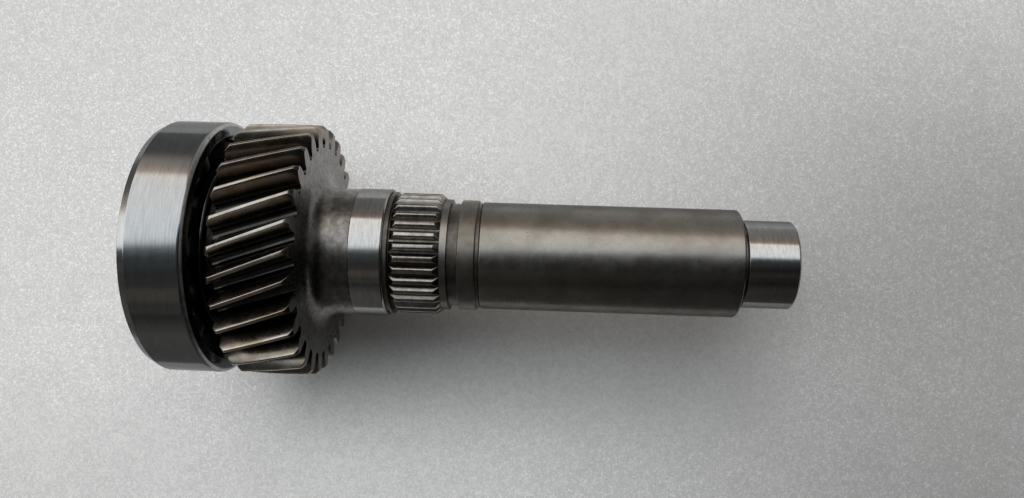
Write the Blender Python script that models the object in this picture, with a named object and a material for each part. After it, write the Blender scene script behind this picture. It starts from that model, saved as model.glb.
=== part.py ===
"""Idler shaft: a forged, ground shaft with a helical gear, and a deep-groove ball bearing on its seat.

Metres, +Z up. The shaft stands on its bearing end: +Z runs along the axis, from the bearing to the pilot.
The origin is the middle of the bearing's lower face. Blender 4.5.
"""
import math

import bmesh
import bpy
from mathutils import Matrix

# Clearances
SEAT_GAP = 0.0003  # between two pieces that touch on the real part
RUNNING_GAP = 0.0003  # between a ball and what it rolls on or in

# Ball bearing
BEARING_BORE = 0.050
BEARING_OUTER_DIAMETER = 0.090
BEARING_WIDTH = 0.021
BALL_SHARE = 0.3175  # a ball's diameter as a share of the outer diameter less the bore
BALL_COUNT = 10
SHOULDER_SHARE = 0.2283  # of a ball's diameter, how far a shoulder rises over the bottom of its raceway
SHOULDER_BEVEL = 0.0016  # bevel from the shoulder to the ring's flat face
LOWER_CORNER_RADIAL = 0.0014  # the outer ring's corner away from the gear
LOWER_CORNER_AXIAL = 0.0028
UPPER_CORNER_RADIAL = 0.0015  # the outer ring's rounded corner beside the gear
UPPER_CORNER_AXIAL = 0.0016
UPPER_CORNER_ROUNDING = 0.3  # how far its middle stays back from both faces, as a share
BORE_CORNER = 0.0011

# Pressed cage, two halves held by rivets
CAGE_SHEET = 0.0009
CAGE_CLEARANCE = 0.00075  # between the cage's band and each ring's shoulder
RIVET_HEAD_SHARE = 0.43  # the head's radius as a share of the flat from the rivet's axis to a pocket
RIVET_SHANK_SHARE = 0.60  # of the head's radius
RIVET_HEAD_TOP_SHARE = 0.70  # of the head's radius
RIVET_HEAD_HEIGHT = 0.0006

# Helical gear, cut into the shaft
GEAR_TEETH = 29
GEAR_TIP_DIAMETER = 0.0896
GEAR_ADDENDUM = 0.0038
GEAR_DEDENDUM = 0.0041
GEAR_WIDTH = 0.0263
GEAR_TIP_CHAMFER = 0.0014
GEAR_ROOT_FILLET = 0.0014
GEAR_FILLET_SHARE = 0.8  # of half a tooth gap, the most that one root fillet may take
GEAR_BACKLASH = 0.0001
HELIX_ANGLE = math.radians(20.0)  # at the pitch circle, left-hand
PRESSURE_ANGLE = math.radians(18.0)  # in the plane across the axis
GEAR_PHASE = math.radians(-88.9)  # where one tooth is centred at the gear's lower face

# Shaft, from the bearing end upwards
SEAT_CHAMFER = 0.0010
ABUTMENT_HEIGHT = 0.00325  # over the bearing's bore
ABUTMENT_LENGTH = 0.0064
ABUTMENT_CHAMFER = 0.0005
NECK_FILLET = 0.0070
NECK_LENGTH = 0.0134
WEB_FLAT = 0.0010  # the least that the neck's fillet leaves of the web's flat face
COLLAR_DIAMETER = 0.0455
COLLAR_STEP = 0.00025  # from the neck up to the collar
COLLAR_LENGTH = 0.0114
COLLAR_CHAMFER = 0.0005
COLLAR_GROOVE_DEPTH = 0.00135
COLLAR_GROOVE_WIDTH = 0.0008
GUARD_RING_DIAMETER = 0.0438
GUARD_RING_WIDTH = 0.0008
UNDERCUT_WIDTH = 0.0004
SPLINE_TEETH = 32
SPLINE_TIP_DIAMETER = 0.0432
SPLINE_TOOTH_HEIGHT = 0.0015
SPLINE_TIP_WIDTH = 0.0015
SPLINE_ROOT_WIDTH = 0.0033
SPLINE_LENGTH = 0.0170
SPLINE_LEAD_IN = 0.0018
SPLINE_END_HEIGHT = 0.00015  # what is left of a tooth at its tapered ends
SPLINE_PHASE = math.radians(-96.4)
RUNOUT_DEPTH = 0.0003  # of the reliefs at both ends of the spline, below its roots
RUNOUT_LENGTH = 0.0024
RING_GROOVE_DEPTH = 0.00135  # below the land
RING_GROOVE_WIDTH = 0.0036
LAND_DIAMETER = 0.0393
LAND_LENGTH = 0.0061
LAND_CHAMFER = 0.0003
LAND_RELIEF_DEPTH = 0.0004  # below the barrel
LAND_RELIEF_WIDTH = 0.0011
BARREL_DIAMETER = 0.0382
BARREL_LENGTH = 0.0899
BARREL_CHAMFER = 0.0005
PILOT_RELIEF_DEPTH = 0.00045  # below the pilot
PILOT_RELIEF_WIDTH = 0.0013
PILOT_DIAMETER = 0.0311
PILOT_LENGTH = 0.0178
PILOT_CHAMFER = 0.0006
CENTRE_HOLE_DIAMETER = 0.0060  # of the cones that the shaft is ground between
CENTRE_HOLE_ANGLE = math.radians(60.0)

# How finely round things are divided
SEGMENTS = 48
FILLET_STEPS = 5
RACEWAY_STEPS = 6
FLANK_STEPS = 2
HELIX_STEPS = 3
POCKET_STEPS = 4
BALL_SEGMENTS = 12
BALL_RINGS = 8
RIVET_SEGMENTS = 8
SMOOTH_ANGLE = math.radians(32.0)

# Heights that follow from the lengths
Z_ABUTMENT = BEARING_WIDTH + SEAT_GAP
Z_GEAR = Z_ABUTMENT + ABUTMENT_LENGTH
Z_WEB = Z_GEAR + GEAR_WIDTH
Z_COLLAR = Z_WEB + NECK_LENGTH
Z_COLLAR_END = Z_COLLAR + COLLAR_LENGTH
Z_GUARD_RING = Z_COLLAR_END + COLLAR_GROOVE_WIDTH
Z_UNDERCUT = Z_GUARD_RING + GUARD_RING_WIDTH
Z_SPLINE = Z_UNDERCUT + UNDERCUT_WIDTH
Z_SPLINE_END = Z_SPLINE + SPLINE_LENGTH
Z_RING_GROOVE = Z_SPLINE_END + RUNOUT_LENGTH
Z_LAND = Z_RING_GROOVE + RING_GROOVE_WIDTH
Z_LAND_END = Z_LAND + LAND_LENGTH
Z_BARREL = Z_LAND_END + LAND_RELIEF_WIDTH
Z_BARREL_END = Z_BARREL + BARREL_LENGTH
Z_PILOT = Z_BARREL_END + PILOT_RELIEF_WIDTH
Z_TOP = Z_PILOT + PILOT_LENGTH
Z_BALLS = BEARING_WIDTH / 2

# Sizes that follow from others
BALL_DIAMETER = BALL_SHARE * (BEARING_OUTER_DIAMETER - BEARING_BORE)
BALL_CIRCLE_RADIUS = (BEARING_BORE + BEARING_OUTER_DIAMETER) / 4
RACEWAY_RADIUS = BALL_DIAMETER / 2 + RUNNING_GAP
SHOULDER_REACH = RACEWAY_RADIUS - SHOULDER_SHARE * BALL_DIAMETER  # from the ball circle to a shoulder
CAGE_HALF_BAND = SHOULDER_REACH - CAGE_CLEARANCE
POCKET_REACH = RACEWAY_RADIUS + CAGE_SHEET
RIVET_ROOM = BALL_CIRCLE_RADIUS * math.sin(math.pi / BALL_COUNT) - POCKET_REACH
RIVET_HEAD_RADIUS = RIVET_HEAD_SHARE * RIVET_ROOM
RIVET_SHANK_RADIUS = RIVET_SHANK_SHARE * RIVET_HEAD_RADIUS
ABUTMENT_RADIUS = BEARING_BORE / 2 + ABUTMENT_HEIGHT
GEAR_TIP_RADIUS = GEAR_TIP_DIAMETER / 2
GEAR_PITCH_RADIUS = GEAR_TIP_RADIUS - GEAR_ADDENDUM
GEAR_ROOT_RADIUS = GEAR_PITCH_RADIUS - GEAR_DEDENDUM
COLLAR_RADIUS = COLLAR_DIAMETER / 2
NECK_RADIUS = COLLAR_RADIUS - COLLAR_STEP
SPLINE_TIP_RADIUS = SPLINE_TIP_DIAMETER / 2
SPLINE_ROOT_RADIUS = SPLINE_TIP_RADIUS - SPLINE_TOOTH_HEIGHT


def empty_scene():
    for thing in list(bpy.data.objects):
        bpy.data.objects.remove(thing, do_unlink=True)


def steel(name, colour, roughness, metallic=1.0):
    material = bpy.data.materials.new(name)
    material.use_nodes = True
    shader = material.node_tree.nodes["Principled BSDF"]
    shader.inputs["Base Color"].default_value = (*colour, 1.0)
    shader.inputs["Roughness"].default_value = roughness
    shader.inputs["Metallic"].default_value = metallic
    return material


def node(name, bm, material, location=(0, 0, 0)):
    """Makes a bmesh one named object, shaded smooth between its sharp edges."""
    bmesh.ops.recalc_face_normals(bm, faces=bm.faces)
    mesh = bpy.data.meshes.new(name)
    bm.to_mesh(mesh)
    bm.free()
    mesh.shade_smooth()
    mesh.set_sharp_from_angle(angle=SMOOTH_ANGLE)
    mesh.materials.append(material)
    thing = bpy.data.objects.new(name, mesh)
    thing.location = location
    bpy.context.collection.objects.link(thing)
    return thing


def polar(bm, radius, angle, z):
    return bm.verts.new((radius * math.cos(angle), radius * math.sin(angle), z))


def ring_of(bm, radius, z):
    return [polar(bm, radius, math.tau * i / SEGMENTS, z) for i in range(SEGMENTS)]


def outline_of(bm, outline, z, turn=0.0):
    """A loop of points from an outline of (radius, angle) pairs, turned about the axis."""
    return [polar(bm, radius, angle + turn, z) for radius, angle in outline]


def wall_between(bm, lower, upper):
    """Quads between two loops with as many points each."""
    for i, corner in enumerate(lower):
        j = (i + 1) % len(lower)
        bm.faces.new((corner, lower[j], upper[j], upper[i]))


def loop_edges(bm, loop):
    edges = []
    for i, corner in enumerate(loop):
        other = loop[(i + 1) % len(loop)]
        edges.append(bm.edges.get((corner, other)) or bm.edges.new((corner, other)))
    return edges


def face_between(bm, outer, inner):
    """A flat face between two loops at one height, whatever their number of points."""
    edges = loop_edges(bm, outer) + loop_edges(bm, inner)
    bmesh.ops.triangle_fill(bm, use_beauty=True, edges=edges)


def turned_rows(bm, profile):
    """Stacks rings along a profile of (radius, z) pairs and returns the first and the last ring."""
    rows = [ring_of(bm, radius, z) for radius, z in profile]
    for lower, upper in zip(rows, rows[1:]):
        wall_between(bm, lower, upper)
    return rows[0], rows[-1]


def turned_ring(name, profile, material):
    """A ring turned from a closed profile of (radius, z) pairs."""
    bm = bmesh.new()
    corners = [bm.verts.new((radius, 0, z)) for radius, z in profile]
    edges = loop_edges(bm, corners)
    bmesh.ops.spin(
        bm,
        geom=corners + edges,
        axis=(0, 0, 1),
        cent=(0, 0, 0),
        angle=math.tau,
        steps=SEGMENTS,
        use_merge=True,
    )
    return node(name, bm, material)


def involute(angle):
    return math.tan(angle) - angle


def gear_outline(tip_radius):
    """One turn of the gear's outline as (radius, angle) pairs, its teeth cut off at tip_radius."""
    base_radius = GEAR_PITCH_RADIUS * math.cos(PRESSURE_ANGLE)
    tooth_pitch = math.tau / GEAR_TEETH
    half_at_pitch = tooth_pitch / 4 - GEAR_BACKLASH / (2 * GEAR_PITCH_RADIUS)

    def half_tooth(radius):
        pressure = math.acos(min(1.0, base_radius / radius))
        return half_at_pitch + involute(PRESSURE_ANGLE) - involute(pressure)

    flank_foot = GEAR_ROOT_RADIUS + GEAR_ROOT_FILLET
    half_gap = tooth_pitch / 2 - half_tooth(flank_foot)
    fillet_angle = min(GEAR_ROOT_FILLET / GEAR_ROOT_RADIUS, half_gap * GEAR_FILLET_SHARE)
    fillet_edge = tooth_pitch / 2 - half_gap
    halfway = 1 - math.sqrt(0.5)
    side = [(GEAR_ROOT_RADIUS, fillet_edge + fillet_angle)]
    side.append((GEAR_ROOT_RADIUS + GEAR_ROOT_FILLET * halfway, fillet_edge + fillet_angle * halfway))
    for step in range(FLANK_STEPS + 1):
        radius = flank_foot + (tip_radius - flank_foot) * step / FLANK_STEPS
        side.append((radius, half_tooth(radius)))
    outline = []
    for tooth in range(GEAR_TEETH):
        middle = tooth * tooth_pitch + GEAR_PHASE
        outline += [(radius, middle - half) for radius, half in side]
        outline += [(radius, middle + half) for radius, half in reversed(side)]
    return outline


def spline_outline(tip_radius):
    """One turn of the spline's outline, its straight-sided teeth cut off at tip_radius."""
    root_half = SPLINE_ROOT_WIDTH / 2 / SPLINE_ROOT_RADIUS
    tip_half = SPLINE_TIP_WIDTH / SPLINE_TIP_DIAMETER
    rise = (tip_radius - SPLINE_ROOT_RADIUS) / SPLINE_TOOTH_HEIGHT
    half = root_half + (tip_half - root_half) * rise
    outline = []
    for tooth in range(SPLINE_TEETH):
        middle = math.tau * tooth / SPLINE_TEETH + SPLINE_PHASE
        outline.append((SPLINE_ROOT_RADIUS, middle - root_half))
        outline.append((tip_radius, middle - half))
        outline.append((tip_radius, middle + half))
        outline.append((SPLINE_ROOT_RADIUS, middle + root_half))
    return outline


def gear_rows(bm):
    """The toothed band, chamfered at both ends, and its first and last outline."""
    turn_per_metre = -math.tan(HELIX_ANGLE) / GEAR_PITCH_RADIUS
    stations = [(Z_GEAR, GEAR_TIP_RADIUS - GEAR_TIP_CHAMFER)]
    full_width = GEAR_WIDTH - 2 * GEAR_TIP_CHAMFER
    for step in range(HELIX_STEPS + 1):
        stations.append((Z_GEAR + GEAR_TIP_CHAMFER + full_width * step / HELIX_STEPS, GEAR_TIP_RADIUS))
    stations.append((Z_WEB, GEAR_TIP_RADIUS - GEAR_TIP_CHAMFER))
    rows = []
    for z, tip in stations:
        rows.append(outline_of(bm, gear_outline(tip), z, turn_per_metre * (z - Z_GEAR)))
    for lower, upper in zip(rows, rows[1:]):
        wall_between(bm, lower, upper)
    return rows[0], rows[-1]


def spline_rows(bm):
    """The splined band with its tapered tooth ends, and its first and last outline."""
    low_radius = SPLINE_ROOT_RADIUS + SPLINE_END_HEIGHT
    rows = [outline_of(bm, spline_outline(low_radius), Z_SPLINE)]
    rows.append(outline_of(bm, spline_outline(SPLINE_TIP_RADIUS), Z_SPLINE + SPLINE_LEAD_IN))
    rows.append(outline_of(bm, spline_outline(SPLINE_TIP_RADIUS), Z_SPLINE_END - SPLINE_LEAD_IN))
    rows.append(outline_of(bm, spline_outline(low_radius), Z_SPLINE_END))
    for lower, upper in zip(rows, rows[1:]):
        wall_between(bm, lower, upper)
    return rows[0], rows[-1]


def straight(radius, low_z, high_z):
    """Profile points of a length with square corners, such as a groove's floor."""
    return [(radius, low_z), (radius, high_z)]


def chamfered(diameter, low_z, high_z, chamfer):
    """Profile points of a length with a chamfer at both ends."""
    radius = diameter / 2
    return [
        (radius - chamfer, low_z),
        (radius, low_z + chamfer),
        (radius, high_z - chamfer),
        (radius - chamfer, high_z),
    ]


def end_cap(bm, rim, z, into):
    """An end face with a conical centre hole that goes in along into (+1 is up)."""
    mouth = ring_of(bm, CENTRE_HOLE_DIAMETER / 2, z)
    face_between(bm, rim, mouth)
    depth = CENTRE_HOLE_DIAMETER / 2 / math.tan(CENTRE_HOLE_ANGLE / 2)
    point = bm.verts.new((0, 0, z + into * depth))
    for i, corner in enumerate(mouth):
        bm.faces.new((corner, mouth[(i + 1) % len(mouth)], point))


def make_shaft(material):
    bm = bmesh.new()
    seat_radius = BEARING_BORE / 2 - SEAT_GAP
    neck_fillet = min(NECK_FILLET, GEAR_ROOT_RADIUS - WEB_FLAT - NECK_RADIUS)
    relief_radius = SPLINE_ROOT_RADIUS - RUNOUT_DEPTH

    seat_rim, gear_foot = turned_rows(bm, [
        (seat_radius - SEAT_CHAMFER, 0),
        (seat_radius, SEAT_CHAMFER),
        (seat_radius, Z_ABUTMENT),
        (ABUTMENT_RADIUS - ABUTMENT_CHAMFER, Z_ABUTMENT),
        (ABUTMENT_RADIUS, Z_ABUTMENT + ABUTMENT_CHAMFER),
        (ABUTMENT_RADIUS, Z_GEAR),
    ])
    end_cap(bm, seat_rim, 0, 1)
    gear_lower, gear_upper = gear_rows(bm)
    face_between(bm, gear_lower, gear_foot)

    fillet = []
    for step in range(FILLET_STEPS + 1):
        angle = math.pi / 2 * step / FILLET_STEPS
        radius = NECK_RADIUS + neck_fillet * (1 - math.sin(angle))
        fillet.append((radius, Z_WEB + neck_fillet * (1 - math.cos(angle))))
    collar = [
        (NECK_RADIUS, Z_COLLAR),
        (COLLAR_RADIUS, Z_COLLAR + COLLAR_STEP),
        (COLLAR_RADIUS, Z_COLLAR_END - COLLAR_CHAMFER),
        (COLLAR_RADIUS - COLLAR_CHAMFER, Z_COLLAR_END),
    ]
    web_rim, spline_foot = turned_rows(
        bm,
        fillet
        + collar
        + straight(COLLAR_RADIUS - COLLAR_GROOVE_DEPTH, Z_COLLAR_END, Z_GUARD_RING)
        + straight(GUARD_RING_DIAMETER / 2, Z_GUARD_RING, Z_UNDERCUT)
        + straight(relief_radius, Z_UNDERCUT, Z_SPLINE),
    )
    face_between(bm, gear_upper, web_rim)

    spline_lower, spline_upper = spline_rows(bm)
    face_between(bm, spline_lower, spline_foot)
    runout_foot, pilot_rim = turned_rows(
        bm,
        straight(relief_radius, Z_SPLINE_END, Z_RING_GROOVE)
        + straight(LAND_DIAMETER / 2 - RING_GROOVE_DEPTH, Z_RING_GROOVE, Z_LAND)
        + chamfered(LAND_DIAMETER, Z_LAND, Z_LAND_END, LAND_CHAMFER)
        + straight(BARREL_DIAMETER / 2 - LAND_RELIEF_DEPTH, Z_LAND_END, Z_BARREL)
        + chamfered(BARREL_DIAMETER, Z_BARREL, Z_BARREL_END, BARREL_CHAMFER)
        + straight(PILOT_DIAMETER / 2 - PILOT_RELIEF_DEPTH, Z_BARREL_END, Z_PILOT)
        + chamfered(PILOT_DIAMETER, Z_PILOT, Z_TOP, PILOT_CHAMFER),
    )
    face_between(bm, spline_upper, runout_foot)
    end_cap(bm, pilot_rim, Z_TOP, -1)
    return node("shaft", bm, material)


def raceway(side):
    """Points along a raceway's arc: side is +1 for the outer ring's and -1 for the inner ring's."""
    half_angle = math.acos(SHOULDER_REACH / RACEWAY_RADIUS)
    points = []
    for step in range(RACEWAY_STEPS + 1):
        angle = half_angle * (1 - 2 * step / RACEWAY_STEPS)
        radius = BALL_CIRCLE_RADIUS + side * RACEWAY_RADIUS * math.cos(angle)
        points.append((radius, Z_BALLS + RACEWAY_RADIUS * math.sin(angle)))
    return points


def make_outer_ring(material):
    outer_radius = BEARING_OUTER_DIAMETER / 2
    shoulder = BALL_CIRCLE_RADIUS + SHOULDER_REACH
    back_from_side = UPPER_CORNER_ROUNDING * UPPER_CORNER_RADIAL
    back_from_face = UPPER_CORNER_ROUNDING * UPPER_CORNER_AXIAL
    profile = [
        (outer_radius - LOWER_CORNER_RADIAL, 0),
        (outer_radius, LOWER_CORNER_AXIAL),
        (outer_radius, BEARING_WIDTH - UPPER_CORNER_AXIAL),
        (outer_radius - back_from_side, BEARING_WIDTH - back_from_face),
        (outer_radius - UPPER_CORNER_RADIAL, BEARING_WIDTH),
        (shoulder + SHOULDER_BEVEL, BEARING_WIDTH),
        (shoulder, BEARING_WIDTH - SHOULDER_BEVEL),
        *raceway(1),
        (shoulder, SHOULDER_BEVEL),
        (shoulder + SHOULDER_BEVEL, 0),
    ]
    return turned_ring("bearing_outer_ring", profile, material)


def make_inner_ring(material):
    bore_radius = BEARING_BORE / 2
    shoulder = BALL_CIRCLE_RADIUS - SHOULDER_REACH
    profile = [
        (bore_radius + BORE_CORNER, 0),
        (bore_radius, BORE_CORNER),
        (bore_radius, BEARING_WIDTH - BORE_CORNER),
        (bore_radius + BORE_CORNER, BEARING_WIDTH),
        (shoulder, BEARING_WIDTH),
        *raceway(-1),
        (shoulder, 0),
    ]
    return turned_ring("bearing_inner_ring", profile, material)


def ball_angle(index):
    return math.tau * index / BALL_COUNT


def make_balls(material):
    bm = bmesh.new()
    bmesh.ops.create_uvsphere(
        bm,
        u_segments=BALL_SEGMENTS,
        v_segments=BALL_RINGS,
        radius=BALL_DIAMETER / 2,
    )
    first = node("ball_01", bm, material, (BALL_CIRCLE_RADIUS, 0, Z_BALLS))
    for index in range(1, BALL_COUNT):
        ball = bpy.data.objects.new(f"ball_{index + 1:02d}", first.data)
        angle = ball_angle(index)
        ball.location = (
            BALL_CIRCLE_RADIUS * math.cos(angle),
            BALL_CIRCLE_RADIUS * math.sin(angle),
            Z_BALLS,
        )
        bpy.context.collection.objects.link(ball)


def cage_stations():
    """Angles round one pocket, from its middle, with the height of the sheet's two sides."""
    flat_inner = SEAT_GAP / 2
    flat_outer = flat_inner + CAGE_SHEET
    stations = []
    for step in range(-POCKET_STEPS, POCKET_STEPS + 1):
        reach = RACEWAY_RADIUS * math.sin(math.pi / 2 * step / POCKET_STEPS)
        inner = math.sqrt(max(0.0, RACEWAY_RADIUS**2 - reach**2))
        outer = math.sqrt(POCKET_REACH**2 - reach**2)
        angle = math.asin(reach / BALL_CIRCLE_RADIUS)
        stations.append((angle, max(flat_inner, inner), max(flat_outer, outer)))
    pocket_edge = math.asin(POCKET_REACH / BALL_CIRCLE_RADIUS)
    half_pitch = math.pi / BALL_COUNT
    stations.insert(0, (-pocket_edge, flat_inner, flat_outer))
    stations.append((pocket_edge, flat_inner, flat_outer))
    stations.append((half_pitch, flat_inner, flat_outer))
    return stations


def make_rivet_cutter():
    """Pins that cut the rivet holes: not a piece of the part."""
    bm = bmesh.new()
    for index in range(BALL_COUNT):
        angle = ball_angle(index + 0.5)
        middle = (BALL_CIRCLE_RADIUS * math.cos(angle), BALL_CIRCLE_RADIUS * math.sin(angle), Z_BALLS)
        bmesh.ops.create_cone(
            bm,
            cap_ends=True,
            segments=RIVET_SEGMENTS,
            radius1=RIVET_SHANK_RADIUS + SEAT_GAP,
            radius2=RIVET_SHANK_RADIUS + SEAT_GAP,
            depth=BEARING_WIDTH,
            matrix=Matrix.Translation(middle) @ Matrix.Rotation(angle, 4, "Z"),
        )
    mesh = bpy.data.meshes.new("rivet_hole_cutter")
    bm.to_mesh(mesh)
    bm.free()
    cutter = bpy.data.objects.new("rivet_hole_cutter", mesh)
    cutter.hide_render = True
    cutter.display_type = "WIRE"
    bpy.context.collection.objects.link(cutter)
    return cutter


def make_cage_half(name, side, cutter, material):
    """A wavy ribbon round the balls: side is +1 above their middle plane and -1 below it."""
    bm = bmesh.new()
    radii = (BALL_CIRCLE_RADIUS - CAGE_HALF_BAND, BALL_CIRCLE_RADIUS + CAGE_HALF_BAND)
    sections = []
    for index in range(BALL_COUNT):
        for angle, inner, outer in cage_stations():
            turn = ball_angle(index) + angle
            section = [
                polar(bm, radii[0], turn, side * inner),
                polar(bm, radii[1], turn, side * inner),
                polar(bm, radii[1], turn, side * outer),
                polar(bm, radii[0], turn, side * outer),
            ]
            sections.append(section)
    for i, section in enumerate(sections):
        wall_between(bm, section, sections[(i + 1) % len(sections)])
    half = node(name, bm, material, (0, 0, Z_BALLS))
    cut = half.modifiers.new("rivet_holes", "BOOLEAN")
    cut.operation = "DIFFERENCE"
    cut.solver = "EXACT"
    cut.object = cutter
    return half


def make_rivets(material):
    """Rivets through both halves of the cage, halfway between the balls."""
    under_head = SEAT_GAP / 2 + CAGE_SHEET + SEAT_GAP
    half_profile = [
        (RIVET_SHANK_RADIUS, under_head),
        (RIVET_HEAD_RADIUS, under_head),
        (RIVET_HEAD_RADIUS * RIVET_HEAD_TOP_SHARE, under_head + RIVET_HEAD_HEIGHT),
    ]
    profile = [(radius, -z) for radius, z in reversed(half_profile)] + half_profile
    bm = bmesh.new()
    rows = []
    for radius, z in profile:
        rows.append([polar(bm, radius, math.tau * i / RIVET_SEGMENTS, z) for i in range(RIVET_SEGMENTS)])
    for lower, upper in zip(rows, rows[1:]):
        wall_between(bm, lower, upper)
    bm.faces.new(rows[0])
    bm.faces.new(rows[-1])
    shared = None
    for index in range(BALL_COUNT):
        angle = ball_angle(index + 0.5)
        name = f"cage_rivet_{index + 1:02d}"
        if shared is None:
            rivet = node(name, bm, material)
            shared = rivet.data
        else:
            rivet = bpy.data.objects.new(name, shared)
            bpy.context.collection.objects.link(rivet)
        rivet.location = (
            BALL_CIRCLE_RADIUS * math.cos(angle),
            BALL_CIRCLE_RADIUS * math.sin(angle),
            Z_BALLS,
        )
        rivet.rotation_euler.z = angle


def main():
    empty_scene()
    make_shaft(steel("forged_steel", (0.42, 0.40, 0.38), 0.32))
    ring_steel = steel("bearing_steel", (0.66, 0.67, 0.68), 0.18)
    make_outer_ring(ring_steel)
    make_inner_ring(ring_steel)
    make_balls(steel("ball_steel", (0.75, 0.76, 0.78), 0.06))
    cage_steel = steel("cage_steel", (0.20, 0.19, 0.18), 0.45)
    cutter = make_rivet_cutter()
    make_cage_half("cage_lower_half", -1, cutter, cage_steel)
    make_cage_half("cage_upper_half", 1, cutter, cage_steel)
    make_rivets(steel("rivet_steel", (0.30, 0.29, 0.28), 0.40))


main()
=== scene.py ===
# %% [markdown]
# # An idler shaft and its ball bearing
#
# This is a shaft from a gearbox: a helical gear, a spline, a groove for a retaining ring, a long
# ground barrel and a smaller pilot are all one piece of steel, and a ball bearing sits on its end.
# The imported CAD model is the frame. It gives every place and every moving body, and this lesson
# dresses it: each plain solid gets a finer mesh in the same place, and each surface gets the finish
# that its machining left on it.

# %% Load the frame
import math

import bmesh
import bpy
from mathutils import Matrix, Vector


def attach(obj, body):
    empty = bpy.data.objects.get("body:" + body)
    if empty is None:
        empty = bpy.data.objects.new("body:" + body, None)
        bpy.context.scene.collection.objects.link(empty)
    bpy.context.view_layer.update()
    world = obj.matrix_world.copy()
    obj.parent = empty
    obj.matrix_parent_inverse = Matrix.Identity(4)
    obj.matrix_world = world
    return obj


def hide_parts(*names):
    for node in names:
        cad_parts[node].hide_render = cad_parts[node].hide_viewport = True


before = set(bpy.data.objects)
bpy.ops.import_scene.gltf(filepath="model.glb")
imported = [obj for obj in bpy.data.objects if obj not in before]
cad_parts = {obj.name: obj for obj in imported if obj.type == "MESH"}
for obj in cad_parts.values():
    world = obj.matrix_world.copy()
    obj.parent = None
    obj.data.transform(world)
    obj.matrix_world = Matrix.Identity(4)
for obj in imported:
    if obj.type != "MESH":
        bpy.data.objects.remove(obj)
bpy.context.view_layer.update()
scene = bpy.context.scene


def placed(name, data):
    """A new object in the scene, at the origin."""
    new = bpy.data.objects.new(name, data)
    scene.collection.objects.link(new)
    return new


# %% [markdown]
# ## Camera
#
# The photo is taken from above a shaft that lies on its side. In the frame the shaft stands on +Z,
# so the camera looks along +Y and is rolled a quarter turn: +Z runs to the right of the picture and
# -X is up. Lens, place and roll come from a pinhole camera fitted to the bearing's rim, the gear's
# tips and the silhouettes of the shaft's steps, which is why they are not round numbers.

# %% Camera
CAMERA_LENS = 28.531  # millimetres, on a sensor 36 mm wide
CAMERA_PLACE = (-0.002645, -0.291601, 0.133563)
CAMERA_TILT = math.radians(90 - 2.3152)
CAMERA_ROLL = math.radians(91.877)

camera_data = bpy.data.cameras.new("photo_camera")
camera_data.sensor_width = 36.0
camera_data.lens = CAMERA_LENS
camera_data.clip_start = 0.01
camera = placed("photo_camera", camera_data)
tilt = Matrix.Rotation(CAMERA_TILT, 4, "X")
roll = Matrix.Rotation(CAMERA_ROLL, 4, "Z")
camera.matrix_world = Matrix.Translation(CAMERA_PLACE) @ tilt @ roll
scene.camera = camera
scene.view_settings.view_transform = "Standard"
print("field of view:", round(math.degrees(camera_data.angle), 1), "degrees")

# %% [markdown]
# ## Small helpers for node trees
#
# Materials, the world and Geometry Nodes are all node trees. The first helper fills a node's inputs,
# each with a value or with a link from another node's output. The second adds a node, sets its
# properties and fills it. The rest are shorthand for the nodes that are used most.

# %% Helpers for node trees
def fill(tree, node, inputs):
    for name, value in inputs.items():
        if isinstance(value, bpy.types.NodeSocket):
            tree.links.new(value, node.inputs[name])
        else:
            node.inputs[name].default_value = value


def add_node(tree, kind, inputs=None, **settings):
    node = tree.nodes.new(kind)
    for name, value in settings.items():
        setattr(node, name, value)
    fill(tree, node, inputs or {})
    return node


def maths(tree, operation, *values):
    inputs = dict(enumerate(values))
    return add_node(tree, "ShaderNodeMath", inputs, operation=operation).outputs[0]


def times(tree, first, *others):
    """The product of all values."""
    for other in others:
        first = maths(tree, "MULTIPLY", first, other)
    return first


def ranged(tree, value, low, high, to_low=0.0, to_high=1.0, curve="SMOOTHSTEP"):
    """Maps low..high smoothly onto to_low..to_high, and holds it there beyond."""
    inputs = {0: value, 1: low, 2: high, 3: to_low, 4: to_high}
    return add_node(tree, "ShaderNodeMapRange", inputs, interpolation_type=curve).outputs[0]


def straight(tree, value, *levels):
    """The same as ranged, but along a straight line."""
    return ranged(tree, value, *levels, curve="LINEAR")


def mixed(tree, factor, first, second, blend="MIX"):
    """Mixes two colours. Sockets 0, 6 and 7 are the factor and the two colours."""
    inputs = {0: factor, 6: first, 7: second}
    node = add_node(tree, "ShaderNodeMix", inputs, data_type="RGBA", blend_type=blend)
    return node.outputs[2]


def ramp(tree, factor, stops):
    node = add_node(tree, "ShaderNodeValToRGB", {0: factor})
    elements = node.color_ramp.elements
    while len(elements) < len(stops):
        elements.new(0.5)
    for element, (position, colour) in zip(elements, stops):
        element.position = position
        element.color = (*colour, 1.0)
    return node.outputs[0]


def noise(tree, place, scale, detail, roughness):
    inputs = {"Vector": place, "Scale": scale, "Detail": detail, "Roughness": roughness}
    return add_node(tree, "ShaderNodeTexNoise", inputs).outputs[0]


def patches(tree, place, kind, levels):
    """Noise of a kind (scale, detail, roughness), mapped as ranged does with its levels."""
    return ranged(tree, noise(tree, place, *kind), *levels)


# %% [markdown]
# ## Light
#
# Bare steel has hardly any colour of its own, so what surrounds it is what one sees. In the photo a
# bright window stands behind and above the camera, the room above it is dim and a little brown, and
# everything below is dark. The light is a world whose brightness goes by the angle round the shaft's
# axis: 0 degrees looks at the camera, 90 degrees up the picture and -90 degrees down it. Lamps could
# do the same, but a ramp puts each edge of the window where the photo's reflections have it. The
# second direction is along the shaft, and the light changes with it too: Z is -1 to the left of the
# picture and 1 to the right.

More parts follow.
